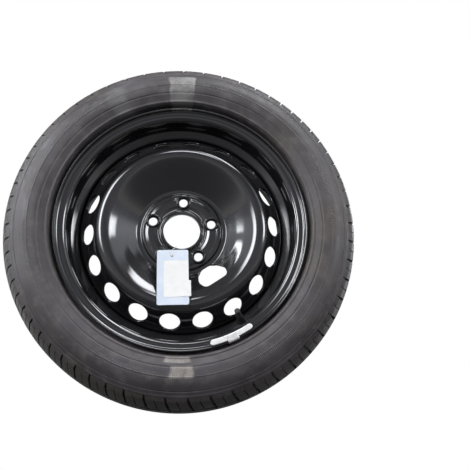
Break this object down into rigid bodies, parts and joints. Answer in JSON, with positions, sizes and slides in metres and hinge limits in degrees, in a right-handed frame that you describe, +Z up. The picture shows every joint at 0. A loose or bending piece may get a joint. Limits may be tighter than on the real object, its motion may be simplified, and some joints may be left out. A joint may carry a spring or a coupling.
{
  "type": "spare wheel",
  "caption": "Pressed steel spare wheel with a road tyre, conical bolt seats, a ring of vent holes, a hand hole, a snap-in valve with dust cap and a clip-on balance weight.",
  "frame": {"origin": "centre of the wheel, on its axis and in the middle plane of the rim and tyre", "axes": "+Y along the wheel's axis towards the car (the outer face looks towards -Y), +Z up with the wheel standing upright"},
  "size_m": [0.6303, 0.214, 0.6304],
  "materials": {
    "tyre_rubber": "matt black rubber, slightly greyed",
    "black_paint": "gloss black paint",
    "valve_rubber": "satin black rubber",
    "brass": "turned",
    "red_seal": "smooth",
    "spring_steel": "drawn wire",
    "black_plastic": "moulded",
    "zinc": "pale grey coated zinc",
    "clip_steel": "plated"
  },
  "bodies": {
    "root": {"tyre": "tyre_rubber", "rim": "black_paint", "wheel_disc": "black_paint", "valve_body": "valve_rubber", "valve_stem": "brass", "core_plug": "brass", "core_barrel": "brass", "core_gasket": "red_seal", "core_spring": "spring_steel", "balance_weight": "zinc", "weight_clip": "clip_steel"},
    "valve_pin": {"core_pin": "brass", "core_seal": "valve_rubber"},
    "dust_cap": {"valve_cap": "black_plastic"}
  },
  "joints": [
    {"name": "pin_press", "type": "slide", "parent": "root", "child": "valve_pin", "axis": [0.2796, 0.866, -0.4145], "range_m": [0, 0.0012], "stiffness_N_per_m": 1500, "springref_m": -0.002, "deforming": ["core_spring"]},
    {"name": "cap_off", "type": "slide", "parent": "root", "child": "dust_cap", "axis": [-0.2796, -0.866, 0.4145], "range_m": [0, 0.014]}
  ]
}
